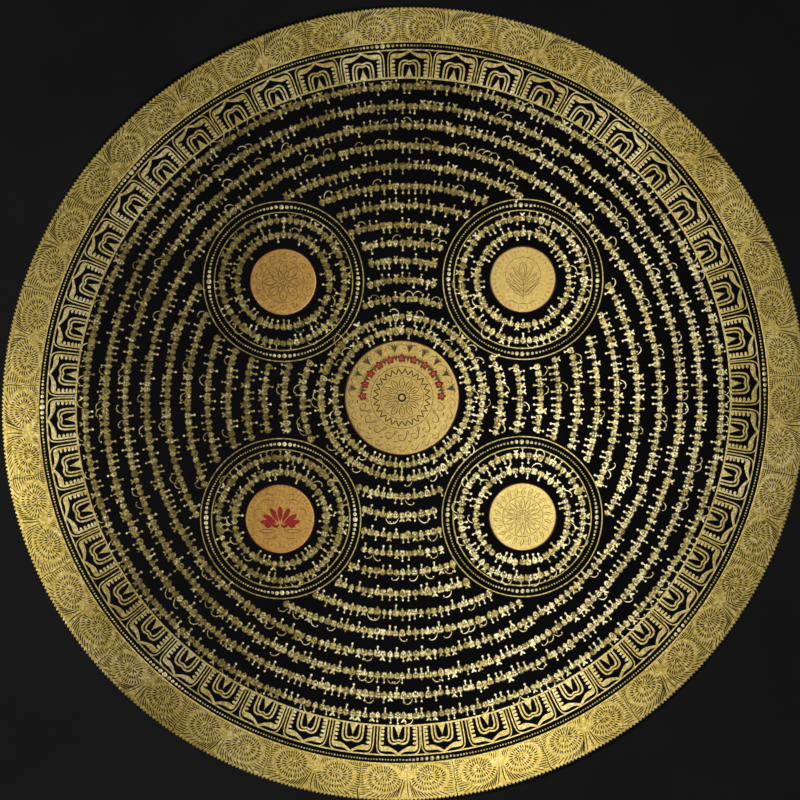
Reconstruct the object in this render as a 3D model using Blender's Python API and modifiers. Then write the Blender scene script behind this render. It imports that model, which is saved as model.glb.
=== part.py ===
"""Painted canvas of a mandala thangka, hung by its top edge with the painted side facing -Y.

Units are metres and +Z is up. The origin is the middle of the canvas's top edge.
The canvas is one sheet of cloth. It is straight along the strip by which it is held,
and below that it stands a little in and out of plane, as loose primed cloth does:
one shallow ripple across its width, and lower corners drawn towards the painted side.
"""
import math

import bpy

# Driving dimensions of the cloth
CANVAS_WIDTH = 0.600
CANVAS_HEIGHT = 0.600
CANVAS_THICKNESS = 0.0015

# The straight strip along the top edge, where the cloth is held
TOP_STRIP = 0.030

# How far the cloth stands out of plane at its bottom edge
RIPPLE_DEPTH = 0.0012
RIPPLES_ACROSS = 1.5
RIPPLE_PHASE = math.radians(25.0)
CORNER_CURL = 0.0030
CURL_POWER = 4

# Side of one cell of the sheet: the strip is one row of cells
CELL = TOP_STRIP

# Black ground colour of the painted side, and its matte surface
GROUND_BLACK = (0.012, 0.012, 0.016, 1.0)
GROUND_ROUGHNESS = 0.8
GROUND_METALLIC = 0.0

# Faces that meet at more than this stay sharp: the cut edges of the cloth
SHARP_EDGE = math.radians(40.0)


def clear_scene():
    """Empties the scene."""
    for existing in list(bpy.data.objects):
        bpy.data.objects.remove(existing, do_unlink=True)


def make_collection(name):
    """A new collection in the scene."""
    collection = bpy.data.collections.new(name)
    bpy.context.scene.collection.children.link(collection)
    return collection


def ground_paint():
    """The matte black paint that covers the cloth's front."""
    material = bpy.data.materials.new("black_ground")
    material.use_nodes = True
    shader = material.node_tree.nodes["Principled BSDF"]
    shader.inputs["Base Color"].default_value = GROUND_BLACK
    shader.inputs["Roughness"].default_value = GROUND_ROUGHNESS
    shader.inputs["Metallic"].default_value = GROUND_METALLIC
    return material


def hang_offset(x, z):
    """How far the cloth at (x, z) stands behind its plane, along +Y.

    Nothing in the top strip; from there a smooth step down to the bottom edge carries
    a cosine ripple across the width and a curl that brings the outer edges forward.
    """
    drop = max(0.0, -z - TOP_STRIP) / (CANVAS_HEIGHT - TOP_STRIP)
    ease = drop * drop * (3.0 - 2.0 * drop)
    across = x / CANVAS_WIDTH
    ripple = RIPPLE_DEPTH * math.cos(2.0 * math.pi * RIPPLES_ACROSS * across + RIPPLE_PHASE)
    curl = CORNER_CURL * abs(2.0 * across) ** CURL_POWER
    return ease * (ripple - curl)


def make_canvas(collection):
    """A flat grid stood upright under the origin, pushed out of plane and thickened."""
    bpy.ops.mesh.primitive_grid_add(
        x_subdivisions=round(CANVAS_WIDTH / CELL),
        y_subdivisions=round(CANVAS_HEIGHT / CELL),
        size=1.0,
        location=(0.0, 0.0, -0.5 * CANVAS_HEIGHT),
        rotation=(0.5 * math.pi, 0.0, 0.0),
    )
    canvas = bpy.context.active_object
    canvas.name = "painted_canvas"
    canvas.data.name = "painted_canvas"
    canvas.scale = (CANVAS_WIDTH, CANVAS_HEIGHT, 1.0)
    bpy.ops.object.transform_apply(location=True, rotation=True, scale=True)

    for vertex in canvas.data.vertices:
        vertex.co.y += hang_offset(vertex.co.x, vertex.co.z)

    thickness = canvas.modifiers.new("cloth_thickness", "SOLIDIFY")
    thickness.thickness = CANVAS_THICKNESS
    thickness.offset = 0.0

    canvas.data.materials.append(ground_paint())
    canvas.data.shade_smooth()
    canvas.data.set_sharp_from_angle(angle=SHARP_EDGE)

    for holder in list(canvas.users_collection):
        holder.objects.unlink(canvas)
    collection.objects.link(canvas)
    return canvas


clear_scene()
make_canvas(make_collection("thangka_painting"))
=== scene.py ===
# Looks of a mandala thangka: gold brush work on a black canvas that hangs by its top edge.
# Metres, +Z up, painted side facing -Y. What is drawn on the cloth is sized in millimetres
# from the middle of the large disc, x to the right and z up.
import math

import bpy
import numpy as np
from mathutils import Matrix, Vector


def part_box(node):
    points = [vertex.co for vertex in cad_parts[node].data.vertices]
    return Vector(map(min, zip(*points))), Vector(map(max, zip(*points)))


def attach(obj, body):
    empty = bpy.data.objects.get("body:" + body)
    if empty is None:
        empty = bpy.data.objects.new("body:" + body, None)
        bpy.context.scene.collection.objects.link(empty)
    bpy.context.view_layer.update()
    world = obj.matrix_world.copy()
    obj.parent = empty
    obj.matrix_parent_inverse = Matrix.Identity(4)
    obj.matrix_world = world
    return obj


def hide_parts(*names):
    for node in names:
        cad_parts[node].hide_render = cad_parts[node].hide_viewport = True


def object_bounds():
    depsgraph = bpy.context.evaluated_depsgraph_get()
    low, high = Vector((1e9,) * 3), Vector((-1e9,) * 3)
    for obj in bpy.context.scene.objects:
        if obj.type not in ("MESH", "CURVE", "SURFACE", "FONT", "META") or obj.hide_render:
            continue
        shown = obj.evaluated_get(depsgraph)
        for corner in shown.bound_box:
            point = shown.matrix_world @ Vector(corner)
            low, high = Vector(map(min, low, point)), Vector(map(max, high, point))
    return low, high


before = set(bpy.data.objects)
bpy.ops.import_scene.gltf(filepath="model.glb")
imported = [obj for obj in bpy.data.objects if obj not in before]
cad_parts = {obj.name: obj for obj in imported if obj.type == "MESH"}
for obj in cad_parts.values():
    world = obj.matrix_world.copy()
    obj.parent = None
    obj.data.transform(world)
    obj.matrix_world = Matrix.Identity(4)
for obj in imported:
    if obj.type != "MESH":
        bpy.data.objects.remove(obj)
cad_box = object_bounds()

# ------------------------------
# Studio: the painting is looked at square on, so closely that its bare margin lies just
# outside the picture. Six lamps in front are mirrored by its gold, most brightly at the
# lower right, and soft light comes from both sides. A pale floor lies far below it.
MM = 0.001
VIEW_WIDTH = 0.560
VIEW_DISTANCE = 2.4
SENSOR_WIDTH = 36.0
VIEW_CENTRE_MM = np.array([-2.8, 2.7])
DISC_CENTRE_Z = -0.300
FLOOR_DROP = 0.45
FLOOR_SIZE = 4.0


class Finish:
    """A material on Object coordinates, put together node by node.

    Inputs go by name or number. A number or colour is set on the input itself, and another
    node's output is linked to it.
    """

    def __init__(self, name):
        self.material = bpy.data.materials.new(name)
        self.material.use_nodes = True
        self.nodes = self.material.node_tree.nodes
        self.shader = self.nodes["Principled BSDF"]
        self.place = self.node("TexCoord", "Object", {})

    def feed(self, node, inputs):
        """Sets or links each of the node's inputs."""
        for key, value in inputs.items():
            if isinstance(value, bpy.types.NodeSocket):
                self.material.node_tree.links.new(value, node.inputs[key])
            else:
                node.inputs[key].default_value = value

    def node(self, kind, output, inputs, **settings):
        """Adds a node with these inputs and settings, and gives one of its outputs."""
        node = self.nodes.new("ShaderNode" + kind)
        for key, value in settings.items():
            setattr(node, key, value)
        self.feed(node, inputs)
        return node.outputs[output]

    def noise(self, scale, detail, place=None):
        """Cloudy noise from 0 to 1, finer with a larger scale."""
        place = self.place if place is None else place
        return self.node("TexNoise", "Fac", {"Vector": place, "Scale": scale, "Detail": detail})

    def stretch(self, value, low, high, begin=0.0, end=1.0):
        """Runs straight from low to high while value runs from begin to end."""
        return self.node("MapRange", "Result", {
            "Value": value, "From Min": begin, "From Max": end, "To Min": low, "To Max": high})

    def ramp(self, value, *stops):
        """Colour that blends from stop to stop, each (position, colour), as value grows."""
        blend = self.node("ValToRGB", "Color", {"Fac": value})
        elements = blend.node.color_ramp.elements
        while len(elements) < len(stops):
            elements.new(0.5)
        for element, (at, colour) in zip(elements, stops):
            element.position = at
            element.color = (*colour, 1.0)
        return blend

    def mix(self, factor, first, second, kind="MIX"):
        """The first colour turned by a factor into the second, or into their product."""
        colours = {0: factor, 6: first, 7: second}
        return self.node("Mix", 2, colours, data_type="RGBA", blend_type=kind)

    def cover(self, colour, roughness, metallic, specular, relief, strength, depth):
        """Gives the surface its colour, gloss and a relief of that depth in metres."""
        normal = self.node("Bump", "Normal", {
            "Height": relief, "Strength": strength, "Distance": depth})
        self.feed(self.shader, {
            "Base Color": colour, "Roughness": roughness, "Metallic": metallic,
            "Specular IOR Level": specular, "Normal": normal})
        return self.material


def area_light(name, place, aim, size, power, colour):
    """A soft light at place, turned to shine at aim, with its (width, height) in size."""
    lamp = bpy.data.lights.new(name, "AREA")
    lamp.shape = "RECTANGLE"
    lamp.size, lamp.size_y = size
    lamp.energy = power
    lamp.color = colour
    holder = bpy.data.objects.new(name, lamp)
    bpy.context.scene.collection.objects.link(holder)
    holder.location = place
    holder.visible_camera = False
    away = np.array(aim) - np.array(place)
    flat = math.hypot(away[0], away[1])
    holder.rotation_euler = (math.atan2(flat, -away[2]), 0.0, math.atan2(-away[0], away[1]))


lens = bpy.data.cameras.new("face_on")
lens.sensor_width = SENSOR_WIDTH
lens.lens = SENSOR_WIDTH * VIEW_DISTANCE / VIEW_WIDTH
camera = bpy.data.objects.new("face_on", lens)
bpy.context.scene.collection.objects.link(camera)
camera.location = (
    VIEW_CENTRE_MM[0] * MM, -VIEW_DISTANCE, DISC_CENTRE_Z + VIEW_CENTRE_MM[1] * MM)
camera.rotation_euler = (math.pi / 2, 0.0, 0.0)
bpy.context.scene.camera = camera

bpy.ops.mesh.primitive_plane_add(size=FLOOR_SIZE, location=(0.0, 0.0, cad_box[0][2] - FLOOR_DROP))
floor = bpy.context.active_object
floor.name = "studio_floor"
floor_finish = Finish("pale_floor")
floor_colour = floor_finish.ramp(
    floor_finish.noise(1.5, 2.0), (0.0, (0.7332, 0.7238, 0.705)), (1.0, (0.78, 0.77, 0.75)))
floor_finish.feed(floor_finish.shader, {"Base Color": floor_colour, "Roughness": 0.7})
floor.data.materials.append(floor_finish.material)

WARM_WHITE = (1.0, 0.98, 0.95)
COOL_WHITE = (0.97, 0.98, 1.0)
# Each lamp in front stands where the flat gold at one place mirrors it into the camera:
# the place (x, z), the lamp's distance in front of the cloth, its size and its watts
GLEAMS = {
    "gleam_right": ((0.085, -0.350), 0.8, (0.20, 0.25), 0.62),
    "gleam_foot": ((0.046, -0.556), 0.7, (0.15, 0.15), 0.52),
    "gleam_upper_right": ((0.125, -0.21), 0.8, (0.20, 0.25), 0.45),
    "gleam_left": ((-0.325, -0.38), 0.4, (0.10, 0.20), 0.48),
    "gleam_upper_left": ((-0.25, -0.15), 0.6, (0.20, 0.20), 0.09),
    "gleam_top": ((0.000, 0.00), 1.1, (0.50, 0.20), 0.46),
}
for name, ((x, z), distance, size, power) in GLEAMS.items():
    step = distance / VIEW_DISTANCE
    lamp_x = x + step * (x - camera.location.x)
    lamp_z = z + step * (z - camera.location.z)
    area_light(name, (lamp_x, -distance, lamp_z), (x, 0.0, z), size, power, WARM_WHITE)
SOFT_LIGHTS = {
    "side_right": ((1.4, -1.5, -0.2), 1.0, 0.6, WARM_WHITE),
    "side_left": ((-1.4, -1.5, -0.2), 1.0, 0.5, COOL_WHITE),
    "back_soft": ((0.3, 1.8, 0.5), 1.5, 30.0, WARM_WHITE),
}
for name, (place, width, power, colour) in SOFT_LIGHTS.items():
    area_light(name, place, (0.0, 0.0, DISC_CENTRE_Z), (width, width), power, colour)

world = bpy.data.worlds.new("soft_room")
world.use_nodes = True
world.node_tree.nodes["Background"].inputs["Color"].default_value = (0.80, 0.81, 0.83, 1.0)
world.node_tree.nodes["Background"].inputs["Strength"].default_value = 0.022
bpy.context.scene.world = world
bpy.context.scene.view_settings.view_transform = "Standard"

# ------------------------------
# The cloth: one piece of cotton canvas, primed and rubbed smooth, its face painted black
# and its back left bare. The edges are cut and bound by the paint alone. Inside the
# large disc the black has a breath of blue in it.
CLOTH_LOW, CLOTH_HIGH = (np.array(corner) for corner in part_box("painted_canvas"))
CLOTH_WIDTH = CLOTH_HIGH[0] - CLOTH_LOW[0]
CLOTH_HEIGHT = CLOTH_HIGH[2] - CLOTH_LOW[2]
CLOTH_THICKNESS = 0.0015
TOP_STRIP = 0.030
RIPPLE_DEPTH = 0.0012
RIPPLES_ACROSS = 1.5
RIPPLE_PHASE = math.radians(25.0)
CORNER_CURL = 0.0030
CURL_POWER = 4
CLOTH_CELLS = 110
RIM_STEPS = 4
EDGE_WANDER = 0.0004
DISC_RADIUS = 279.2


def hang_offset(x, z):
    """How far the cloth at (x, z) stands behind its plane.

    Nothing in the top strip; below it a smooth step down to the bottom edge carries a
    cosine ripple across the width, less a curl that grows with the fourth power of the
    distance from the middle and brings the outer edges forward.
    """
    drop = np.clip((-z - TOP_STRIP) / (CLOTH_HEIGHT - TOP_STRIP), 0.0, None)
    ease = drop * drop * (3.0 - 2.0 * drop)
    across = x / CLOTH_WIDTH
    ripple = RIPPLE_DEPTH * np.cos(2.0 * np.pi * RIPPLES_ACROSS * across + RIPPLE_PHASE)
    curl = CORNER_CURL * np.abs(2.0 * across) ** CURL_POWER
    return ease * (ripple - curl)


def quads(number, closed=False):
    """Faces between neighbours in grids of point numbers (..., rows, columns), as (n, 4).

    A closed grid's last column is joined to its first.
    """
    if closed:
        number = np.concatenate([number, number[..., :1]], axis=-1)
    near, far = number[..., :-1, :], number[..., 1:, :]
    corners = [near[..., :-1], near[..., 1:], far[..., 1:], far[..., :-1]]
    return np.stack(corners, axis=-1).reshape(-1, 4)


def make_piece(name, points, face_sets, material, **values):
    """An object from points (n, 3) in metres and arrays of faces, each (m, corners).

    values are numbers at the points, by name, that a material can read.
    """
    loops = np.concatenate([faces.ravel() for faces in face_sets]).astype(np.int32)
    corners = np.concatenate([np.full(len(faces), faces.shape[1]) for faces in face_sets])
    mesh = bpy.data.meshes.new(name)
    mesh.vertices.add(len(points))
    mesh.vertices.foreach_set("co", np.ascontiguousarray(points, dtype=np.float32).ravel())
    mesh.loops.add(len(loops))
    mesh.loops.foreach_set("vertex_index", loops)
    mesh.polygons.add(len(corners))
    mesh.polygons.foreach_set("loop_start", (np.cumsum(corners) - corners).astype(np.int32))
    mesh.update(calc_edges=True)
    mesh.validate()
    for key, numbers in values.items():
        layer = mesh.attributes.new(key, "FLOAT", "POINT")
        layer.data.foreach_set("value", np.asarray(numbers, dtype=np.float32).ravel())
    mesh.shade_smooth()
    mesh.materials.append(material)
    piece = bpy.data.objects.new(name, mesh)
    bpy.context.scene.collection.objects.link(piece)
    return piece


def cloth_sheet(cells, rim_steps):
    """The closed sheet: front grid, half-round rim and back grid, each row a full array.

    A layer is the grid pushed off the cloth's middle by h sin(a) and drawn in at its
    outline by h (1 - cos(a)), with h half the thickness; a runs from -90 degrees at the
    front to +90 degrees at the back. Only the outer loop of the layers between is kept.
    """
    u = np.linspace(-0.5, 0.5, cells + 1)
    across, down = np.meshgrid(u, u + 0.5, indexing="xy")
    wander = EDGE_WANDER * (np.sin(23.0 * down + 1.0) + np.sin(61.0 * down) * 0.5) * (2 * across)
    droop = EDGE_WANDER * (np.sin(27.0 * across + 2.0) + np.sin(53.0 * across) * 0.5) * down
    x, z = across * CLOTH_WIDTH + wander, -down * CLOTH_HEIGHT - droop
    side = cells + 1
    number = np.arange(side * side).reshape(side, side)
    loop = np.concatenate([number[0, :-1], number[:-1, -1], number[-1, :0:-1], number[:0:-1, 0]])
    half = 0.5 * CLOTH_THICKNESS

    def layer(angle, keep=slice(None)):
        """The grid at the angle a round the rim, or only its points that are to be kept."""
        inset = 1.0 - half * (1.0 - math.cos(angle)) / (0.5 * CLOTH_WIDTH)
        mid_z = -0.5 * CLOTH_HEIGHT
        px, pz = (x * inset).ravel()[keep], (mid_z + (z - mid_z) * inset).ravel()[keep]
        return np.stack([px, hang_offset(px, pz) + half * math.sin(angle), pz], axis=1)

    angles = np.linspace(-math.pi / 2, math.pi / 2, rim_steps + 1)
    front, back = layer(angles[0]), layer(angles[-1])
    rims = [layer(a, loop) for a in angles[1:-1]]
    points = np.concatenate([front, *rims, back])
    back_start = len(points) - side * side
    rings = [side * side + i * len(loop) + np.arange(len(loop)) for i in range(len(rims))]
    rim_faces = quads(np.array([loop, *rings, back_start + loop]), closed=True)
    front_faces = quads(number)[:, [0, 3, 2, 1]]
    side_value = np.repeat([0.0, 0.5, 1.0], [len(front), len(rims) * len(loop), len(back)])
    return points, [front_faces, front_faces[:, ::-1] + back_start, rim_faces], side_value


def canvas_material():
    """Black paint on the face, bare cotton on the back, told apart by the value 'back'.

    Face: near-black, bluer inside the large disc, with soft wear and faint brush marks in
    its gloss. Back: unbleached cotton with a plain weave from two crossed waves, the gaps
    between its threads darkened as painted shade, and slubs from noise drawn out along the
    threads both ways.
    """
    finish = Finish("black_ground_on_canvas")
    off_centre = finish.node("VectorMath", "Value", {
        0: finish.place, 1: (0.0, 0.0, DISC_CENTRE_Z)}, operation="DISTANCE")
    outside = finish.stretch(
        off_centre, 0.0, 1.0, begin=(DISC_RADIUS - 1.5) * MM, end=(DISC_RADIUS + 0.5) * MM)
    cloudy = finish.noise(9.0, 3.0)
    disc_black = finish.ramp(
        cloudy, (0.3, (0.0056, 0.0056, 0.0068)), (0.7, (0.0080, 0.0080, 0.0096)))
    outer_black = finish.ramp(
        cloudy, (0.3, (0.0160, 0.0162, 0.0167)), (0.7, (0.0217, 0.0217, 0.0222)))
    face = finish.mix(outside, disc_black, outer_black)

    wave = {"Vector": finish.place, "Scale": 400.0, "Distortion": 1.2, "Detail": 1.0}
    weave = [finish.node("TexWave", "Fac", wave, bands_direction=way) for way in ("X", "Z")]
    threads = finish.node("Math", "Value", {0: weave[0], 1: weave[1]}, operation="MAXIMUM")
    unshaded = (1.0, 1.0, 1.0)
    # painted shade: the gaps between the threads are darkened
    shades = [(0.35, finish.ramp(threads, (0.0, (0.45, 0.42, 0.38)), (1.0, unshaded)))]
    for across, down in ((650.0, 2.3), (2.3, 650.0)):
        drawn_out = finish.node("Mapping", "Vector", {
            "Vector": finish.place, "Location": (0.37, 0.0, 0.37), "Scale": (across, 1.0, down)})
        slubs = finish.noise(1.0, 3.0, drawn_out)
        shades.append((0.8, finish.ramp(slubs, (0.35, (0.74, 0.71, 0.66)), (0.62, unshaded))))
    stains = finish.noise(5.0, 2.0)
    shades.append((0.5, finish.ramp(stains, (0.35, (0.84, 0.80, 0.74)), (0.65, unshaded))))
    cotton = finish.ramp(
        finish.noise(60.0, 4.0), (0.25, (0.53, 0.47, 0.37)), (0.75, (0.60, 0.54, 0.43)))
    for strength, shade in shades:
        cotton = finish.mix(strength, cotton, shade, "MULTIPLY")

    back = finish.node("Attribute", "Fac", {}, attribute_name="back")
    colour = finish.mix(finish.stretch(back, 0.0, 1.0, begin=0.45, end=0.75), face, cotton)
    rough = finish.stretch(finish.noise(25.0, 4.0), 0.62, 0.82)
    return finish.cover(
        colour, rough, metallic=0.0, specular=0.03, relief=threads, strength=0.2, depth=0.0002)


cloth_points, cloth_faces, cloth_back = cloth_sheet(CLOTH_CELLS, RIM_STEPS)
cloth = make_piece("cotton_canvas", cloth_points, cloth_faces, canvas_material(), back=cloth_back)
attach(cloth, "root")
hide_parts("painted_canvas")

# ------------------------------
# The outer band: a broad ring of gold with a finely scalloped edge. Dark line work on it
# draws pairs of whorled scrolls that grow from slanting stems, and beaded lines part the
# pairs. Its hand-drawn rings aren't quite round, and their centres creep upwards inwards.
RING_DRIFT = np.array([-1.4, 4.4])
RING_BEND = np.array([-1.68, 2.45])
BAND_INNER = 253.6
BAND_OUTER = 279.7
BAND_MID = 266.5
BAND_PAIRS = 25
SCALLOPS = 625
SCALLOP_DEPTH = 1.5
BAND_TONE = 0.40
GOLD_LIFT = 0.10
LINE_CREST = GOLD_LIFT + 0.03
LINE_BASE = GOLD_LIFT - 0.02
STROKE_CREST = 0.035
EDGE_LIFT = 0.008
WHORL_CENTRE = np.array([16.3, 10.7])
WHORL_EYE = np.array([15.4, 8.8])
WHORL_SIZE = np.array([13.0, 9.8])
WHORL_TURNS = 2.4
DASH_STEP = 1.75
RUNG_STEP = 1.60
STRANDS = 11
STRAND_TOP = 24.2
PARTING = 32.7


def pairs(x, z):
    """Points (..., 2) from their x and z, either of which may be one number for all."""
    return np.stack(np.broadcast_arrays(x, z), axis=-1)


def ring_point(radius, angle):
    """Point (x, z) in mm of the large disc's ring of that radius, angle clockwise from top.

    With s the square of the ring's share of the disc's radius, the centre stands
    RING_DRIFT (1 - s) off, and the radius grows by s (c cos 2a + d sin 2a), where (c, d)
    is RING_BEND: the outer rings are slightly oval, and the inner ones sit higher.
    """
    share = (radius / DISC_RADIUS) ** 2
    bent = radius + share * (RING_BEND[0] * np.cos(2 * angle) + RING_BEND[1] * np.sin(2 * angle))
    x = RING_DRIFT[0] * (1.0 - share) + bent * np.sin(angle)
    z = RING_DRIFT[1] * (1.0 - share) + bent * np.cos(angle)
    return pairs(x, z)


def on_cloth(points, lift):
    """Points (..., 2) in mm, lift mm proud of the cloth's face, as rows of metres."""
    x = points[..., 0].ravel() * MM
    z = DISC_CENTRE_Z + points[..., 1].ravel() * MM
    lift = np.broadcast_to(lift, points.shape[:-1]).ravel() * MM
    y = hang_offset(x, z) - 0.5 * CLOTH_THICKNESS - lift
    return np.stack([x, y, z], axis=1)


def even_turns(count, first=0.0):
    """Angles evenly round a circle."""
    return first + np.arange(count) * 2 * np.pi / count


class Paint:
    """Paint of one colour, gathered stroke by stroke and laid on the cloth as one piece."""

    def __init__(self):
        self.points, self.faces, self.tones, self.count = [], [], [], 0

    def grids(self, points, lift, tone, closed=False):
        """Surfaces through grids of points (grids, rows, columns, 2) in mm, lift mm proud.

        The tone, from 0 to 1, is one number or one for each grid. Gives the points' numbers.
        """
        shape = points.shape[:-1]
        number = self.count + np.arange(math.prod(shape)).reshape(shape)
        self.points.append(on_cloth(points, lift))
        self.faces.append(quads(number, closed))
        self.tones.append(np.broadcast_to(np.reshape(tone, (-1, 1, 1)), shape).ravel())
        self.count += number.size
        return number

    def ribbons(self, left, right, crest, base=EDGE_LIFT, tone=0.5):
        """Low ridges between left and right edges, each (strokes, points, 2) in mm.

        The crest runs halfway between the edges. The edges stand base above the cloth and
        the crest stands crest above it.
        """
        low = np.broadcast_to(base, left.shape[:2])
        high = np.broadcast_to(crest, left.shape[:2])
        points = np.stack([left, 0.5 * (left + right), right], axis=2)
        self.grids(points, np.stack([low, high, low], axis=2), tone)

    def strokes(self, path, half_width, crest, base=EDGE_LIFT, tone=0.5):
        """Ribbons of the given half-width along paths (strokes, points, 2) in mm."""
        ahead = np.gradient(path, axis=1)
        ahead /= np.linalg.norm(ahead, axis=2, keepdims=True) + 1e-9
        across = np.stack([-ahead[..., 1], ahead[..., 0]], axis=2)
        width = np.broadcast_to(half_width, path.shape[:2])[..., None]
        self.ribbons(path + across * width, path - across * width, crest, base, tone)

    def rounds(self, points, lift, tone):
        """Low rounds through rings of points (rounds, rings, sides, 2), closed by a cap."""
        number = self.grids(points, lift, tone, closed=True)
        self.faces.append(number[:, -1])

    def dots(self, centres, radii, height=0.07, base=EDGE_LIFT, tone=0.5, sides=8,
             rings=(1.0, 0.8, 0.4)):
        """Low round beads, with rings at shares of the radius.

        They stand base above the cloth at the rim, and on top height times the radius more,
        rising with the square root of one less the square of the share.
        """
        angle = even_turns(sides)
        unit = pairs(np.cos(angle), np.sin(angle))
        radii = np.broadcast_to(radii, len(centres))[:, None]
        rings = np.array(rings)
        points = centres[:, None, None] + radii[..., None, None] * rings[:, None, None] * unit
        lift = base + radii * height * np.sqrt(1.0 - rings**2)
        self.rounds(points, lift[..., None], tone)

    def lay(self, name, material, slot):
        """Makes the piece, riding on the cloth, its faces sorted by their number of corners."""
        kinds = {}
        for faces in self.faces:
            kinds.setdefault(faces.shape[1], []).append(faces)
        face_sets = [np.concatenate(faces) for faces in kinds.values()]
        points, tone = np.concatenate(self.points), np.concatenate(self.tones)
        piece = make_piece(name, points, face_sets, material, tone=tone)
        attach(piece, "root")


def paint_material(name, dark, middle, light, roughness, metallic):
    """Brushed paint, with tone by stroke, pooled and thin places, and grain in its relief.

    Its colour runs from dark to light with 0.5 clouds + 1.5 pools + 0.6 tone - 0.75.
    """
    finish = Finish(name)
    tone = finish.node("Attribute", "Fac", {}, attribute_name="tone")
    pools = finish.noise(650.0, 3.0)
    total = -0.75
    for value, share in ((finish.noise(22.0, 3.0), 0.5), (pools, 1.5), (tone, 0.6)):
        terms = {0: value, 1: share, 2: total}
        total = finish.node("Math", "Value", terms, operation="MULTIPLY_ADD")
    colour = finish.ramp(total, (0.1, dark), (0.55, middle), (1.0, light))
    rough = finish.stretch(pools, roughness - 0.08, roughness + 0.08)
    return finish.cover(
        colour, rough, metallic, specular=0.2, relief=pools, strength=0.3, depth=0.00006)


def curve(start, bend, end, count):
    """Quadratic curves from start to end, drawn towards bend, as (strokes, count, 2)."""
    t = np.linspace(0.0, 1.0, count)[None, :, None]
    start, bend, end = (np.asarray(p, float).reshape(-1, 1, 2) for p in (start, bend, end))
    return (1 - t) ** 2 * start + 2 * t * (1 - t) * bend + t**2 * end


def lens_width(width, count, power):
    """Half-widths along a stroke that swells and thins as sin(pi t) to a power."""
    t = np.linspace(0.0, 1.0, count)
    return np.reshape(width, (-1, 1)) * np.maximum(np.sin(np.pi * t), 0.03) ** power


GOLD = paint_material(
    "gold_paint", (0.25, 0.175, 0.020), (0.64, 0.485, 0.122), (1.0, 0.91, 0.60), 0.33, 0.75)
LINE = paint_material(
    "dark_line_paint",
    (0.008, 0.005, 0.001), (0.021, 0.013, 0.003), (0.046, 0.030, 0.008), 0.6, 0.0)
rng = np.random.default_rng(7)

band_gold = Paint()
turn = np.linspace(0.0, 2 * np.pi, SCALLOPS * 6 + 1)
scallop = BAND_OUTER - SCALLOP_DEPTH + SCALLOP_DEPTH * np.abs(np.sin(SCALLOPS * turn / 2))
band_radii = np.stack([
    *(np.full_like(turn, BAND_INNER + step) for step in (0.0, 0.3, 0.7)),
    np.full_like(turn, BAND_MID), scallop - 0.7, scallop - 0.3, scallop])
band_lift = np.array([0.0, *[GOLD_LIFT] * 5, 0.0])[:, None]
band_gold.grids(ring_point(band_radii, turn)[None, :, ::-1], band_lift, BAND_TONE)
band_gold.lay("band_gold", GOLD, "gold_paint")


def whorl_edge(value, centre, size, grow):
    """Half-chord of an ellipse at distance value - centre from its middle, nothing outside.

    grow[0] sqrt(1 - ((value - centre) / (size + grow[1]))^2).
    """
    share = (value - centre) / (size + grow[1])
    return grow[0] * np.sqrt(np.clip(1.0 - share**2, 0.0, None))


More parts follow.
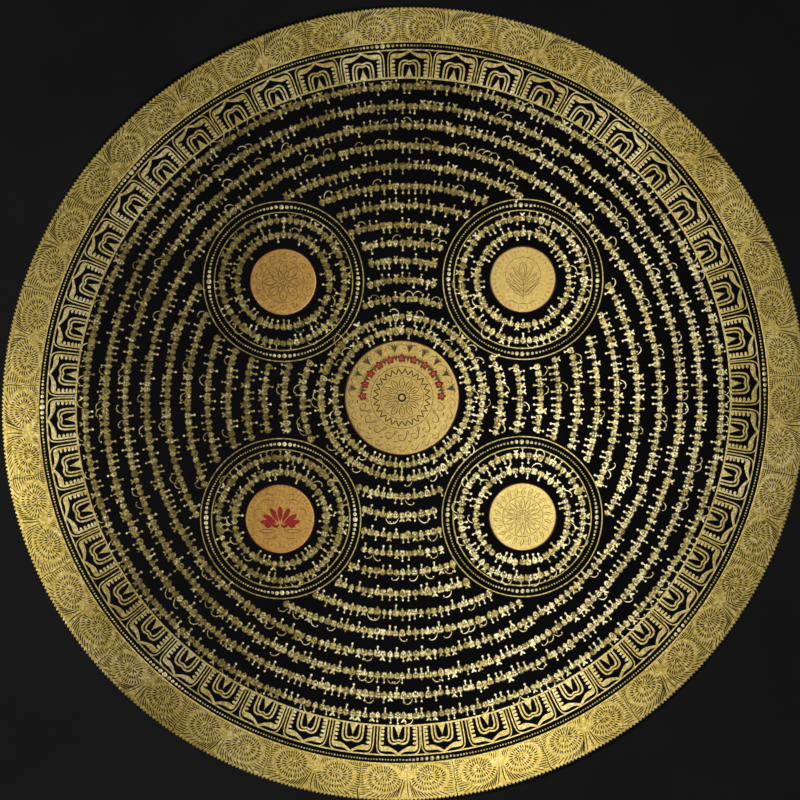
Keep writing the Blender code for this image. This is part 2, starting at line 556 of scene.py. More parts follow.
def scroll_lines(side):
    """Dark strokes of one scroll, in mm from the foot of its stem: (path, half-widths) pairs.

    A spiral of dashes, evenly spaced along an oval whose size shrinks steadily with the
    turn, winds from the stem over the top into a dotted eye. Strands lean away from the
    stem, from the whorl's back to the scalloped edge, the more the further out they
    start. Rungs join the whorl to the beaded line that parts the pairs, and short dashes
    fill the corners along the inner edge.
    """
    hand = rng.normal(size=(3, 120))
    shift = 0.35 * hand[0, :2]
    middle_x, middle_z = WHORL_CENTRE + shift
    wide, high = WHORL_SIZE * (1.0 + 0.02 * hand[0, 2])
    lines = []

    def stroke(start, bend, end, count, width, power):
        """Adds curves from start to end of count points, with their half-widths."""
        lines.append((curve(start, bend, end, count), lens_width(width, count, power)))

    def spiral(turn):
        """Point and spoke of the shrinking oval at that turn from the stem."""
        share = (0.93 - 0.30 * turn / (2 * np.pi))[:, None]
        spoke = pairs(-wide * np.cos(turn), high * np.sin(turn))
        return WHORL_EYE + shift + (WHORL_CENTRE - WHORL_EYE + spoke) * share, spoke

    turn = np.linspace(0.0, 2 * np.pi * WHORL_TURNS, 400)
    length = np.append(0.0, np.cumsum(np.linalg.norm(np.diff(spiral(turn)[0], axis=0), axis=1)))
    stop = np.arange(0.8, length[-1], DASH_STEP)
    at = np.interp(stop + 0.13 * hand[1, :len(stop)], length, turn)
    middle, spoke = spiral(at)
    out = spoke / WHORL_SIZE**2
    out /= np.linalg.norm(out, axis=1, keepdims=True)
    lean = pairs(out[:, 1], -out[:, 0]) * 0.30
    reach = 0.125 * np.linalg.norm(spoke, axis=1) * (1 + 0.13 * hand[2, :len(at)])
    reach = out * reach[:, None]
    stroke(middle - reach - lean, middle, middle + reach + lean, 4,
           0.74 + 0.06 * hand[1, -len(at):], 0.45)

    eye = even_turns(5, hand[2, 100])
    ring = WHORL_EYE + shift + pairs(np.cos(eye) * 1.75, np.sin(eye) * 1.25)
    stroke(ring - [0.4, 0.2], ring, ring + [0.4, 0.2], 4, 0.85, 0.4)

    order = np.arange(1.0 * STRANDS)
    gap = 1.5 + 0.12 * order
    foot_x = 1.0 + 1.5 * order + 0.06 * order**2
    foot_z = middle_z + 0.8 + whorl_edge(foot_x, middle_x, wide, (high, 0.6))
    slope = 0.10 + 0.072 * foot_x
    rise = STRAND_TOP - foot_z
    foot = pairs(foot_x, foot_z)
    head = pairs(foot_x + rise * slope, STRAND_TOP)
    bend = 0.5 * (foot + head) + pairs(-0.08 * rise, 0.0)
    width = 0.42 * gap / np.sqrt(1.0 + slope**2) * (1 + 0.08 * hand[2, 101:101 + STRANDS])
    stroke(foot, bend, head, 7, width, 0.35)

    rise = np.arange(3.2, 23.8, RUNG_STEP)
    near = middle_x + whorl_edge(rise, middle_z, high, (wide + 0.8, 0.5)) + 0.5
    near = np.minimum(np.maximum(near, 23.4 + 1.8 * (rise - 20.0) * (rise > 18.0)), 31.4)
    start, end = pairs(near, rise - 0.55), pairs(PARTING, rise + 0.35)
    stroke(start, 0.5 * (start + end) + [0, 0.25], end, 5, 0.58, 0.35)

    column = np.append(np.arange(2.2, 11.0, 1.45), np.arange(21.5, 33.0, 1.45))
    top = middle_z - whorl_edge(column, middle_x, wide, (high + 0.5, 0.5)) - 0.6
    top = np.maximum(np.minimum(top, np.where(column > 20.0, 2.7, 5.5)), 1.7)
    start, end = pairs(column, 1.0), pairs(column + 0.05 * (16.0 - column), top)
    stroke(start, 0.5 * (start + end), end, 4, 0.56, 0.4)
    return [(path * [side, 1.0], width) for path, width in lines]


band_lines = Paint()
pair_step = 2 * np.pi / BAND_PAIRS
for pair in range(BAND_PAIRS):
    stem = (pair + 0.5) * pair_step - math.radians(0.6) + rng.normal(0.0, 0.003)
    slant = 0.22 + 0.06 * rng.normal()
    for side in (-1.0, 1.0):
        for path, width in scroll_lines(side):
            along, out = path[..., 0], path[..., 1]
            along = along + slant * (out - 10.0) * np.clip(1.0 - np.abs(along) / 15.0, 0, 1)
            out = np.clip(out, 0.9, 24.0)
            placed = ring_point(BAND_INNER + out, stem + along / BAND_MID)
            band_lines.strokes(placed, width, LINE_CREST, LINE_BASE, rng.random(len(placed)))
    edge = stem + 0.5 * pair_step
    rise = np.linspace(1.2, 25.2, 73)
    bulge = np.sin(np.pi * rise / 1.9) ** 2 * (0.20 + 0.55 * (rise / 25.0) ** 2)
    line = ring_point(BAND_INNER + rise, edge + 0.0012 * np.sin(rise * 0.7))[None]
    band_lines.strokes(line, (0.26 + bulge)[None], LINE_CREST, LINE_BASE)
band_lines.lay("band_lines", LINE, "line_paint")

# ------------------------------
# The bead garland: single gold dots on a black ring inside the band, touched in one by
# one. They are large at eight places and dwindle to specks halfway between.
GARLAND_RADIUS = 251.5
LARGE_BEADS_AT = np.radians([-3.4, 41.1, 86.3, 129.5, 175.4, 221.3, 269.3, 310.2])
LARGE_BEAD = 1.75
SMALL_BEAD = 0.62
BEAD_GAP = 0.75
BEAD_DWINDLE = 3.2


def garland(paint, ring, radius, large_at, large, small):
    """Beads round a ring, largest at the angles large_at.

    The k-th bead from the nearest large one has radius small + (large - small)
    exp(-k / BEAD_DWINDLE). Neighbours stand BEAD_GAP apart, before each stretch between
    two large beads is eased to fit the ring.
    """
    ends = np.append(large_at[1:], large_at[0] + 2 * np.pi)
    for begin, end in zip(large_at, ends):
        length = radius * (end - begin)
        surplus = 2 * 2 * (large - small) * BEAD_DWINDLE
        count = max(4, int(round((length - surplus) / (2 * small + BEAD_GAP))))
        step = np.arange(count)
        size = small + (large - small) * np.exp(-np.minimum(step, count - step) / BEAD_DWINDLE)
        pitch = size + np.roll(size, -1) + BEAD_GAP
        angle = begin + (end - begin) * (np.cumsum(pitch) - pitch) / pitch.sum()
        hand = rng.normal(0.0, 1.0, (2, count))
        centres = ring(radius + 0.08 * hand[0], angle + 0.05 * hand[1] / radius)
        tone = 0.38 + 0.4 * rng.random(count) + 0.4 * (size - small) / (large - small)
        paint.dots(centres, size * (1 + 0.05 * hand[1]), 0.10, tone=tone)


beads = Paint()
garland(beads, ring_point, GARLAND_RADIUS, LARGE_BEADS_AT, LARGE_BEAD, SMALL_BEAD)

# ------------------------------
# The lotus ring: a row of broad petals standing on a thin gold line, tips outwards. Each
# has a fine outline, a gold rim with pearls down its sides and two wings that rise to a
# point in its top, and within that a double-lined inner petal round a small flame.
PETALS = 46
PETAL_FOOT = 228.0
PETAL_MID = 238.0
PETAL_HEIGHT = 20.2
PEARLS_UP = np.array([1.6, 4.0, 6.5, 9.2, 12.2])
WING_CREST = 0.045
LINE_WANDER = 0.08
# The wing of the rim, up its outer edge and up its inner edge, as (x, z) from the foot
WING_OUTER = [
    (13.6, 0.3), (13.6, 4.0), (13.6, 8.0), (13.6, 12.0), (13.5, 14.6), (13.0, 16.6), (11.6, 17.6),
    (9.0, 17.7), (6.5, 17.6), (4.6, 17.8), (3.0, 18.5), (1.5, 19.4), (0.0, 20.0)]
WING_INNER = [
    (12.5, 0.3), (12.5, 4.0), (12.5, 8.0), (12.5, 11.0), (12.5, 12.8), (12.1, 14.0), (11.0, 14.4),
    (9.2, 14.1), (7.4, 14.2), (5.6, 14.9), (3.6, 16.0), (1.8, 17.2), (0.0, 18.6)]


def arch(half_width, height, squareness, count):
    """Points of a superellipse arch |x/a|^n + |z/b|^n = 1, from its right foot to its left."""
    t = np.linspace(0.0, np.pi, count)
    c, s = np.cos(t), np.sin(t)
    x = half_width * np.sign(c) * np.abs(c) ** (2.0 / squareness)
    return pairs(x, height * np.abs(s) ** (2.0 / squareness))


def petal_place(points, centres):
    """Bends drawings (..., 2) round the ring at each angle of centres: (centres, ..., 2).

    x runs along the ring and z outwards from the petals' foot.
    """
    centres = np.reshape(centres, (-1,) + (1,) * (points.ndim - 1))
    return ring_point(PETAL_FOOT + points[..., 1], centres + points[..., 0] / PETAL_MID)


def ring_line(paint, ring, radius, half_width, tone=0.5):
    """A painted circle, closed on itself, whose width and radius wander a little."""
    turn = np.linspace(0.0, 2 * np.pi, 241)
    uneven = LINE_WANDER * np.sin(5 * turn + radius) + 0.5 * LINE_WANDER * np.sin(13 * turn)
    radius = radius + 0.5 * LINE_WANDER * np.sin(7 * turn + 2.0 * radius)
    width = half_width * (1.0 + uneven)[None]
    paint.strokes(ring(radius, turn)[None], width, STROKE_CREST, tone=tone)


LOTUS_GOLD = paint_material(
    "lotus_gold_paint", (0.23, 0.175, 0.043), (0.63, 0.488, 0.145), (1.0, 0.92, 0.60), 0.33, 0.75)
petals = Paint()
petal_at = (np.arange(PETALS) + 0.5) * 2 * np.pi / PETALS - math.radians(3.0)
petal_at = petal_at + rng.normal(0.0, 0.0015, PETALS)
petal_tone = 0.32 + 0.4 * rng.random(PETALS)

outline = arch(15.2, PETAL_HEIGHT, 6.5, 45)
petals.strokes(petal_place(outline, petal_at), 0.40, STROKE_CREST, tone=petal_tone)
for side in (-1.0, 1.0):
    wing = [np.array(edge) * [side, 1.0] for edge in (WING_OUTER, WING_INNER)]
    left, right = (petal_place(edge, petal_at) for edge in wing[::int(-side)])
    petals.ribbons(left, right, WING_CREST, tone=petal_tone)
    start, end = (pairs(side * x, PEARLS_UP) for x in (12.9, 10.0))
    pearls = petal_place(curve(start, 0.5 * (start + end), end, 5), petal_at)
    petals.strokes(
        pearls.reshape(-1, 5, 2), np.array([0.55, 0.80, 0.95, 0.85, 0.10]), WING_CREST,
        tone=np.repeat(petal_tone, 5) + 0.15)
for half_width, height, squareness, count, notch, line in (
        (7.3, 12.5, 4.6, 33, 1.6, 0.62), (5.0, 10.5, 4.4, 29, 1.3, 0.56)):
    notched = arch(half_width, height, squareness, count)
    notched[:, 1] -= 0.9 * np.exp(-((notched[:, 0] / notch) ** 2))
    petals.strokes(petal_place(notched, petal_at), line, STROKE_CREST, tone=petal_tone)
flame_up = np.linspace(0.0, 8.0, 9)
flame_wide = 3.1 * (1.0 - flame_up / 8.05) ** 1.25
left, right = (petal_place(pairs(side * flame_wide, flame_up), petal_at) for side in (-1.0, 1.0))
petals.ribbons(left, right, WING_CREST, tone=petal_tone)
ring_line(petals, ring_point, PETAL_FOOT, 0.62)
ring_line(petals, ring_point, PETAL_FOOT + PETAL_HEIGHT, 0.48)
petals.lay("lotus_petals", LOTUS_GOLD, "gold_paint")

# ------------------------------
# The rows of fine brush work: rings of a running vine, from the lotus ring in to the
# middle. Leaves, blossoms, buds and berries hang inwards from its stem, and a few stand
# out from it. The rows break off where the four small rings stand.
VINE_ROWS = [
    47.4, 56.9, 69.8, 83.0, 96.8, 109.4, 122.4, 136.6, 150.2, 164.4, 179.2, 193.8, 207.6, 222.0]
SPRIG_STEP = 4.5
SPRIG_SHRINK = (0.80, 1.0)
STROKE_POINTS = 5
SMALL_RINGS = {
    "upper_left": np.array([-84.35, 85.7]),
    "upper_right": np.array([83.25, 87.2]),
    "lower_left": np.array([-86.3, -80.3]),
    "lower_right": np.array([82.65, -78.85]),
}
SMALL_RING_RADIUS = 56.0
STEM_REACH = 2.9
UNDERCOAT_SPOT = 2.3
# Painted highlight: the vines' tone rises towards the lower right, where the light gleams, and
# falls towards the upper left: tone gained a mm
PAINTED_HIGHLIGHT_TOWARDS = np.array([0.0042, -0.0014])
HEART = np.array([0.0, -0.4])


def round_petals(count, off, radius, first=0.5 * math.pi):
    """Dots of a radius, evenly turned about a sprig's heart at the distance off from it."""
    turns = even_turns(count, first)
    return [(*(HEART + off * way), radius) for way in pairs(np.cos(turns), np.sin(turns))]


def rays(count, near, far, width, first=0.0):
    """Strokes from near to far off a sprig's heart, evenly turned from the angle first."""
    rings = [round_petals(count, off, width, first) for off in (near, 0.5 * (near + far), far)]
    return [(*a[:2], *b[:2], *c) for a, b, c in zip(*rings)]


def both_sides(*strokes):
    """The strokes and their mirror images."""
    return [*strokes, *((-a, b, -c, d, -e, f, w) for a, b, c, d, e, f, w in strokes)]


# Each sprig's strokes as (from x, z, towards x, z, to x, z, half-width) and its dots as
# (x, z, radius), with x along the stem and z out of the ring
BLOSSOMS = [
    ([], round_petals(5, 1.30, 0.86)),
    ([], round_petals(6, 1.45, 0.70) + [(0, -.4, .48)]),
    ([(0, 1.4, 0, 2.0, 0, 2.6, .4)], round_petals(4, 1.15, 0.94, 0.25 * math.pi)),
    (rays(4, 0.2, 2.4, 0.88, math.pi / 4), [(0, -.4, .6)]),
    ([], [(0, 1.0, .68), (-1.1, -.2, .84), (1.1, -.2, .84), (0, -1.7, .94)]),
    (rays(5, 0.3, 2.4, 0.78, -math.pi / 2), [(0, .9, .5)]),
    ([], round_petals(3, 1.05, 1.02) + [(0, -2.2, .5)]),
]
GREENS = [
    ([], [(-1.4, .5, .74), (0, .8, .74), (1.4, .5, .74), (-.75, -.8, .76), (.75, -.8, .76),
          (0, -2.2, .78)]),
    (both_sides((.1, .9, 2.0, 1.0, 2.2, -1.4, .74)) + [(0, .8, 0, -1.0, 0, -3.4, .72)], []),
    (both_sides((0, .6, 2.6, 2.2, 1.7, -.6, .66), (1.7, -.6, 1.2, -1.8, 0, -3.0, .62)),
     [(0, -.6, .6)]),
    ([], [(-.95, .7, .74), (.95, .7, .74), (-.95, -.8, .78), (.95, -.8, .78), (0, -2.3, .84)]),
    (both_sides((0, 1.2, 2.6, .2, .2, -3.1, .62)), [(0, -.4, .7)]),
    (both_sides((.2, .9, 2.0, .9, 2.3, -.6, .68), (.2, -.6, 1.6, -.8, 1.9, -2.6, .62)), []),
    (both_sides((.2, .9, 2.8, .6, 1.5, -2.2, .70)), [(0, -2.3, .66), (0, .1, .66)]),
]
# What a sprig may gain, and how often: a berry on a stalk, two crown leaves, a long
# tendril or a hanging bud
EXTRAS = [
    (0.30, [(0, 1.1, .3, 2.0, 0, 3.0, .36)], [(0, 3.8, .80)]),
    (0.20, both_sides((0, 1.2, .6, 3.0, 2.1, 3.4, .58)), []),
    (0.13, [(-2.6, 1.4, -1.0, 6.0, 3.8, 4.7, .32)], [(3.7, 4.0, .5)]),
    (0.35, [(0, -2.2, .3, -3.0, 0, -4.0, .42)], [(0, -4.6, .90)]),
]


def clear_of_small_rings(points):
    """True where a point (n, 2) lies outside all four small rings, with room for a sprig."""
    apart = [np.linalg.norm(points - centre, axis=1) for centre in SMALL_RINGS.values()]
    return np.min(apart, axis=0) > SMALL_RING_RADIUS + 2.6


def vine_row(paint, under, ring, radius, keep=None):
    """A waving stem round a ring, with blossoms and leaves in turn, each a little different.

    A drawing's x runs clockwise along the ring and its z outwards. It is shrunk, mirrored
    and tilted by a small random amount before it is bent round the ring. Some sprigs have
    a berry, a pair of crown leaves or a long tendril on the outside, or a bud inside. A
    round spot of thin undercoat lies beneath each.
    """
    count = 2 * int(round(np.pi * radius / SPRIG_STEP))
    angle = (np.arange(count) + 0.07 * rng.normal(size=count)) * 2 * np.pi / count
    rise = 0.25 * np.sin(3 * angle + radius) + 0.15 * rng.normal(size=count)
    kind = rng.integers(0, len(BLOSSOMS), count)
    scale = 1.09 + 0.08 * rng.normal(size=count)
    flip = rng.choice([-1.0, 1.0], count)
    tilt = rng.normal(0.0, 0.07, count)
    tone = np.clip(0.41 + 0.15 * rng.normal(size=count), -0.1, 1.1)
    extra = rng.random(count)
    places = ring(radius + rise, angle)
    # painted highlight: lighter towards the lower right and darker towards the upper left, as the
    # light falls
    tone = tone + np.clip(places @ PAINTED_HIGHLIGHT_TOWARDS, -0.28, 0.28)
    shown = np.ones(count, bool) if keep is None else keep(places)

    def bend(drawing, chosen, hand):
        """Places a drawing (..., 2) at every chosen sprig: (chosen, ..., 2)."""
        shape = (-1,) + (1,) * (drawing.ndim - 1)
        at, up, size, side, lean = (v[chosen].reshape(shape) for v in (angle, rise, *hand))
        x = SPRIG_SHRINK[0] * drawing[..., 0] * size * side
        z = np.where(drawing[..., 1] < 0, SPRIG_SHRINK[1], 1.0) * drawing[..., 1] * size + x * lean
        return ring(radius + up + z, at + x / radius)

    def draw(strokes, dots, chosen, hand=(scale, flip, tilt), lighter=0.0):
        """Paints a drawing's strokes and dots at every chosen sprig."""

        def tones(table, more):
            """The sprigs' tones, painted highlight included, a little different for each stroke or
            dot.
            """
            spread = 0.26 * rng.normal(size=len(chosen) * len(table))
            return np.repeat(tone[chosen], len(table)) + lighter + more + spread

        if len(strokes) and len(chosen):
            table = np.array(strokes)
            path = curve(table[:, 0:2], table[:, 2:4], table[:, 4:6], STROKE_POINTS)
            paths = bend(path, chosen, hand).reshape(-1, STROKE_POINTS, 2)
            width = np.tile(lens_width(table[:, 6], STROKE_POINTS, 0.45), (len(chosen), 1))
            width = width * np.repeat(hand[0][chosen], len(table))[:, None]
            paint.strokes(paths, width, STROKE_CREST, tone=tones(table, 0.0))
        if len(dots) and len(chosen):
            table = np.array(dots)
            places = bend(table[:, 0:2], chosen, hand).reshape(-1, 2)
            radii = np.tile(table[:, 2], len(chosen))
            paint.dots(places, radii, tone=tones(table, 0.2), sides=6, rings=(1.0, 0.6))

    all_shown = np.flatnonzero(shown)
    spots = bend(np.array([0.0, -0.35]), all_shown, (scale, flip, tilt)).reshape(-1, 2)
    # the undercoat spots follow the sprigs' tone, painted highlight included
    spot_tone = 0.5 + 0.3 * tone[shown]
    under.dots(spots, UNDERCOAT_SPOT * scale[shown], 0.001, 0.004, spot_tone, rings=(1.0, 0.5))
    even = np.arange(count) % 2 == 0
    as_drawn = np.ones(count), np.ones(count), np.zeros(count)
    draw([(-STEM_REACH, .4, 0, .8, STEM_REACH, .4, .30)], [], all_shown, as_drawn)
    for drawings, turn in ((BLOSSOMS, even), (GREENS, ~even)):
        for number, (strokes, dots) in enumerate(drawings):
            draw(strokes, dots, np.flatnonzero(shown & turn & (kind == number)))
    low = 0.0
    for share, strokes, dots in EXTRAS:
        high = low + share
        draw(strokes, dots, np.flatnonzero(shown & (extra >= low) & (extra < high)), lighter=0.25)
        low = high


PALE_GOLD = paint_material(
    "pale_gold_paint", (0.17, 0.130, 0.035), (0.49, 0.392, 0.114), (0.92, 0.84, 0.50), 0.33, 0.75)
UNDERCOAT = paint_material(
    "thin_undercoat", (0.078, 0.055, 0.017), (0.145, 0.103, 0.033), (0.22, 0.165, 0.056), 0.5, 0.2)
undercoat = Paint()
vines = {"outer_vine_rows": Paint(), "middle_vine_rows": Paint(), "inner_vine_rows": Paint()}
for radius in VINE_ROWS:
    place = "outer" if radius > 190 else "middle" if radius > 145 else "inner"
    vine_row(vines[place + "_vine_rows"], undercoat, ring_point, radius, clear_of_small_rings)
for name, paint in vines.items():
    paint.lay(name, PALE_GOLD, "gold_paint")

# ------------------------------
# Four small rings, each a garland between two fine lines round two rows of vine and a
# plain round medallion of gold leaf with a thin red edge.
SMALL_GARLAND = 52.2
SMALL_INNER_LINE = 48.35
SMALL_VINE_ROWS = [43.4, 32.7]
SMALL_LARGE_BEAD = 1.65
SMALL_FINE_BEAD = 0.52
warm_leaf, pale_leaf = Paint(), Paint()
# Each medallion's centre and radius, and the gold leaf that it is laid in with its tone
MEDALLIONS = {
    "upper_left": (np.array([-84.5, 85.4]), 22.9, warm_leaf, 0.39),
    "upper_right": (np.array([83.2, 87.2]), 22.9, pale_leaf, 0.27),
    "lower_left": (np.array([-86.7, -80.45]), 23.8, warm_leaf, 0.16),
    "lower_right": (np.array([83.05, -78.95]), 23.35, pale_leaf, 0.70),
}
DISC_SIDES = 96
WARM_LEAF = paint_material(
    "warm_gold_leaf", (0.52, 0.27, 0.062), (0.70, 0.415, 0.108), (0.86, 0.57, 0.165), 0.33, 0.75)
PALE_LEAF = paint_material(
    "pale_gold_leaf", (0.40, 0.262, 0.076), (0.55, 0.40, 0.122), (0.78, 0.66, 0.22), 0.33, 0.75)


def gold_disc(paint, centre, radius, tone):
    """A round of gold leaf: rings of points at growing radii, closed in the middle."""
    share = np.array([1.0, 0.985, 0.97, 0.95, 0.7, 0.4, 0.2, 0.04])
    angle = even_turns(DISC_SIDES)
    ripple = 1.0 + 0.004 * np.sin(3 * angle) + 0.003 * np.sin(8 * angle + 1.0)
    unit = pairs(np.cos(angle) * ripple, np.sin(angle) * ripple)
    points = centre + radius * share[:, None, None] * unit
    paint.rounds(points[None], np.where(share < 1.0, GOLD_LIFT, 0.0)[:, None], tone)


def circles_about(centre):
    """Gives a function that works as ring_point does, for true circles round a centre."""

    def ring(radius, angle):
        """Point (x, z) in mm: the centre plus radius times (sin a, cos a)."""
        return centre + pairs(radius * np.sin(angle), radius * np.cos(angle))

    return ring


small_lines, small_vines, rims = Paint(), Paint(), Paint()
for key, ring_centre in SMALL_RINGS.items():
    small_ring = circles_about(ring_centre)
    ring_line(small_lines, small_ring, SMALL_RING_RADIUS, 0.38, 0.35)
    ring_line(small_lines, small_ring, SMALL_INNER_LINE, 0.38, 0.35)
    quarter = np.arange(4) * np.pi / 2 + rng.normal(0.0, 0.02, 4)
    garland(beads, small_ring, SMALL_GARLAND, quarter, SMALL_LARGE_BEAD, SMALL_FINE_BEAD)
    for radius in SMALL_VINE_ROWS:
        vine_row(small_vines, undercoat, small_ring, radius)
    centre, medallion_radius, leaf, leaf_tone = MEDALLIONS[key]
    gold_disc(leaf, centre, medallion_radius, leaf_tone)
    ring_line(rims, circles_about(centre), medallion_radius + 0.15, 0.40)
small_lines.lay("small_ring_lines", PALE_GOLD, "gold_paint")
small_vines.lay("small_ring_vines", PALE_GOLD, "gold_paint")
undercoat.lay("vine_undercoat", UNDERCOAT, "gold_paint")
beads.lay("bead_garlands", PALE_GOLD, "gold_paint")

# ------------------------------
# Line work on the medallions: fine reddish-brown strokes over the gold leaf. The four
# small ones hold a rosette with leaf scrolls, a plant in bud, a red water lily among
# leaves and a many-petalled blossom in a wreath.
INK = paint_material(
    "brown_line_paint", (0.09, 0.030, 0.011), (0.19, 0.075, 0.028), (0.32, 0.140, 0.055), 0.5, 0.1)
RED = paint_material(
    "red_paint", (0.26, 0.012, 0.010), (0.46, 0.024, 0.020), (0.64, 0.060, 0.045), 0.5, 0.0)
SAGE = paint_material(
    "sage_paint", (0.07, 0.065, 0.020), (0.13, 0.12, 0.040), (0.22, 0.20, 0.075), 0.5, 0.1)
DARK_RED = paint_material(
    "dark_red_paint", (0.05, 0.004, 0.005), (0.10, 0.008, 0.008), (0.16, 0.014, 0.012), 0.5, 0.0)


def spin(drawing, turns):
    """Copies of a drawing's paths (n, points, 2), turned clockwise by each of the turns.

    A whole number stands for that many turns, evenly round.
    """
    turns = even_turns(turns) if isinstance(turns, int) else turns
    c, s = (f(np.reshape(turns, (-1, 1, 1))) for f in (np.cos, np.sin))
    x, z = drawing[None, ..., 0], drawing[None, ..., 1]
    return pairs(x * c + z * s, z * c - x * s).reshape(-1, *drawing.shape[1:])


def petal_edges(foot, tip, width, lean=0.0):
    """Both edges of an upright petal from (0, foot) to (lean, tip), as two paths."""
    middle = 0.45 * foot + 0.55 * tip
    bends = [(-width, middle), (width, middle)]
    return np.concatenate([curve((0.0, foot), bend, (lean, tip), 9) for bend in bends])


def circle(radius, middle=(0.0, 0.0)):
    """A closed circle as one path."""
    return circles_about(middle)(radius, np.linspace(0.0, 2 * np.pi, 61))[None]


def fine_brush(paint, centre):
    """Gives a function that draws over gold leaf, about a medallion's centre."""

    def ink(path, width, tone=0.5, power=0.3):
        """Strokes of the given half-width, thinning towards their ends."""
        widths = lens_width(width, path.shape[1], power)
        paint.strokes(centre + path, widths, LINE_CREST, LINE_BASE, tone)

    return ink


brown, red = Paint(), Paint()

# Rosette: eight broad petals round eight small ones, and leaf scrolls along the edge
ink = fine_brush(brown, MEDALLIONS["upper_left"][0])
ink(circle(2.3), 0.36, 0.5, 0.0)
ink(circle(14.6), 0.26, 0.4, 0.0)
ink(spin(petal_edges(2.6, 8.2, 2.6), even_turns(8, math.pi / 8)), 0.34, 0.4)
ink(spin(petal_edges(4.6, 13.8, 5.4), 8), 0.38, 0.3)
ink(spin(curve((0, 8.6), (0.3, 10.5), (0, 12.4), 5), 8), 0.30)
ink(spin(curve((-2.9, 16.0), (-0.4, 22.5), (2.2, 17.4), 9), 14), 0.34, 0.4)
ink(spin(curve((2.2, 17.4), (0.8, 15.6), (-0.4, 17.8), 7), 14), 0.30, 0.4)
ink(spin(curve((-0.7, 0.2), (0, 0.9), (0.7, 0.2), 5), 3), 0.32)

# Plant in bud: a stem with paired leaves, a tall bud on top, a ring and dashes about it
ink = fine_brush(brown, MEDALLIONS["upper_right"][0])
ink(curve((0, -15.5), (0.6, -5.0), (0, 1.0), 11), 0.38)
ink(petal_edges(1.0, 12.4, 5.6), 0.38, 0.3)
ink(petal_edges(1.6, 9.8, 2.6), 0.30, 0.4)
for foot, reach, lift in (
        (-1.0, 7.2, 8.6), (-4.5, 10.0, 4.6), (-8.2, 11.4, 0.8), (-12.0, 9.4, -3.4)):
    for side in (-1.0, 1.0):
        for bow in (-2.6, 1.8):
            bend = (side * (0.55 * reach - bow * 0.3), 0.5 * (foot + lift) + bow)
            ink(curve((0, foot), bend, (side * reach, lift), 9), 0.33, 0.35)
ink(circle(12.2, (0.0, 3.4)), 0.26, 0.4, 0.0)
ink(spin(curve((0, 18.6), (0.2, 19.8), (0, 21.0), 4), 40), 0.30, 0.3)
ink(spin(curve((-3.4, -17.6), (0, -15.8), (3.4, -17.6), 7), [-0.42, 0.0, 0.42]), 0.36, 0.3)

# Many-petalled blossom in a wreath of small leaves
ink = fine_brush(brown, MEDALLIONS["lower_right"][0])
for radius in (1.6, 4.6, 14.0):
    ink(circle(radius), 0.28, 0.3, 0.0)
ink(spin(petal_edges(4.8, 13.4, 2.6), 16), 0.32, 0.3)
ink(spin(petal_edges(1.9, 4.4, 0.9), 10), 0.26, 0.3)
ink(spin(petal_edges(15.0, 20.6, 1.9, 1.6), 22), 0.30, 0.25)

# Red water lily from the side: seven round petals behind, four broad ones before them
centre = MEDALLIONS["lower_left"][0] + [0.0, 1.2]
ink = fine_brush(brown, centre)
LILY_FOOT = np.array([0.0, -5.9])
LILY_TURNS = np.radians([-78.0, -57.0, -29.0, 0.0, 29.0, 57.0, 78.0])
LILY_TIPS = np.array([14.4, 14.2, 14.0, 13.6, 14.0, 14.2, 14.4])
for turn, tip in zip(LILY_TURNS, LILY_TIPS):
    along = np.linspace(0.0, 1.0, 13)
    wide = 3.0 * np.sin(np.pi * along**1.4) ** 0.6
    edges = (pairs(side * wide, 2.6 + (tip - 2.6) * along)[None] for side in (-1.0, 1.0))
    left, right = (centre + LILY_FOOT + spin(edge, [turn]) for edge in edges)
    red.ribbons(left, right, LINE_CREST, LINE_BASE, 0.6)
for x, wide in ((-8.4, 2.6), (-3.1, 2.5), (3.1, 2.5), (8.4, 2.6)):
    path = centre + LILY_FOOT + curve((x - wide, 0.9), (x, -2.6), (x + wide, 0.9), 9)
    red.strokes(path, lens_width(1.55, 9, 0.4), LINE_CREST, LINE_BASE, 0.3)
for side in (-1.0, 1.0):
    for start, bend, end in (
            ((3, -9.4), (9, -12.6), (14.6, -9.6)), ((3, -9.4), (9, -7.6), (14.6, -9.6)),
            ((2, -13.4), (7, -16.6), (11.6, -14.4)), ((5, 11.4), (10, 13.6), (13.4, 10.4)),
            ((4, 15.0), (8, 17.4), (11.0, 15.0)), ((13, 5.4), (18, 6.4), (18.6, 2.0))):
        ink(curve(start, bend, end, 9) * [side, 1.0], 0.36, 0.3)
ink = fine_brush(brown, centre + [0, 0.6])
ink(spin(curve((0, 20.2), (0.2, 21.2), (0, 22.2), 4), 44), 0.28, 0.3)

# ------------------------------
# The middle medallion: a rosette in a zigzag ring, within a wreath that carries red
# blossoms on its upper half and leaf scrolls on its lower half, and waves at the edge.
MIDDLE = np.array([-1.45, 4.4])
MIDDLE_RADIUS = 39.7
WREATH_RADIUS = 27.6
gold_disc(pale_leaf, MIDDLE, MIDDLE_RADIUS, 0.27)
warm_leaf.lay("warm_medallions", WARM_LEAF, "gold_paint")
pale_leaf.lay("pale_medallions", PALE_LEAF, "gold_paint")
middle_ring = circles_about(MIDDLE)
ring_line(rims, middle_ring, MIDDLE_RADIUS + 0.1, 0.50)
dark, leaves = Paint(), Paint()
brown_ink, dark_ink = (fine_brush(paint, MIDDLE) for paint in (brown, dark))
dark_ink(circle(2.4), 1.10, 0.3, 0.0)
dark_ink(circle(5.2), 0.30, 0.3, 0.0)
brown_ink(spin(petal_edges(3.6, 5.2, 1.2), 8), 0.30, 0.2)
brown_ink(spin(petal_edges(5.6, 14.0, 3.6), 12), 0.48, 0.0)
brown_ink(spin(curve((0, 7.4), (0.2, 9.4), (0, 11.6), 5), 12), 0.34, 0.1)
ZIGZAGS = 26
corner = np.arange(2 * ZIGZAGS + 1)
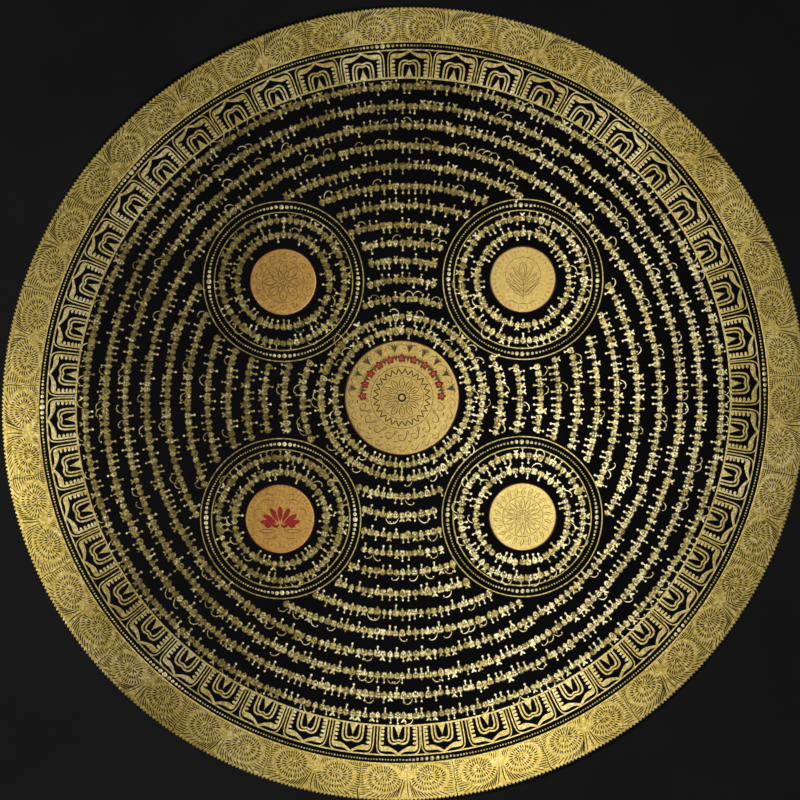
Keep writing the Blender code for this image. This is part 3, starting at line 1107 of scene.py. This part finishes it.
zigzag = middle_ring(np.where(corner % 2 == 0, 16.4, 20.4), corner * np.pi / ZIGZAGS) - MIDDLE
sides = np.stack([zigzag[:-1], 0.5 * (zigzag[:-1] + zigzag[1:]), zigzag[1:]], axis=1)
dark_ink(sides, 0.66, 0.4, 0.1)
brown_ink(circle(15.2), 0.30, 0.2, 0.0)
brown_ink(circle(21.8), 0.34, 0.2, 0.0)

BLOOM_TURNS = np.radians(np.linspace(-88.0, 88.0, 11))
for turn in BLOOM_TURNS:
    bloom = middle_ring(WREATH_RADIUS, turn)
    petals_at = circles_about(bloom)(2.0, turn + even_turns(5))
    red.dots(petals_at, 1.55, 0.03, LINE_BASE, 0.55, sides=10, rings=(1.0, 0.7))
    dark.dots(bloom[None], 0.62, 0.04, LINE_CREST, 0.5, sides=10, rings=(1.0, 0.7))
leaf_turns = np.radians(np.linspace(-79.2, 79.2, 10))
for lean in (-3.4, -1.1, 1.1, 3.4):
    for foot, tip, wide in ((24.6, 31.4, 1.3), (31.0, 38.4, 1.9)):
        edges = petal_edges(foot, tip, wide, lean)
        left, right = (MIDDLE + spin(edge[None], leaf_turns) for edge in edges)
        leaves.ribbons(left, right, LINE_CREST, LINE_BASE, 0.5 + 0.3 * rng.normal(size=10))
scroll_turns = np.radians(180.0 + np.linspace(-76.0, 76.0, 9))
brown_ink(spin(curve((-3.6, 24.4), (-1.8, 33.6), (2.4, 28.6), 11), scroll_turns), 0.52, 0.0)
brown_ink(spin(curve((2.4, 28.6), (2.8, 24.6), (-0.8, 26.8), 9), scroll_turns), 0.42, 0.1)
brown_ink(spin(petal_edges(23.2, 26.6, 1.4, 1.4), scroll_turns + 0.16), 0.36, 0.1)
dark_ink(spin(curve((-1.3, 31.0), (0.0, 31.8), (1.3, 31.0), 5), scroll_turns + 0.15), 0.55, 0.4)
wave_turns = even_turns(26)
brown_ink(spin(curve((-4.4, 33.8), (-0.4, 40.2), (2.6, 35.6), 9), wave_turns), 0.40, 0.2)
brown_ink(spin(curve((2.6, 35.6), (1.6, 33.2), (0.0, 35.2), 7), wave_turns), 0.34, 0.2)
brown.lay("medallion_lines", INK, "line_paint")
dark.lay("middle_dark_lines", LINE, "line_paint")
leaves.lay("middle_leaves", SAGE, "line_paint")
red.lay("red_blossoms", RED, "red_paint")
rims.lay("medallion_edges", DARK_RED, "red_paint")
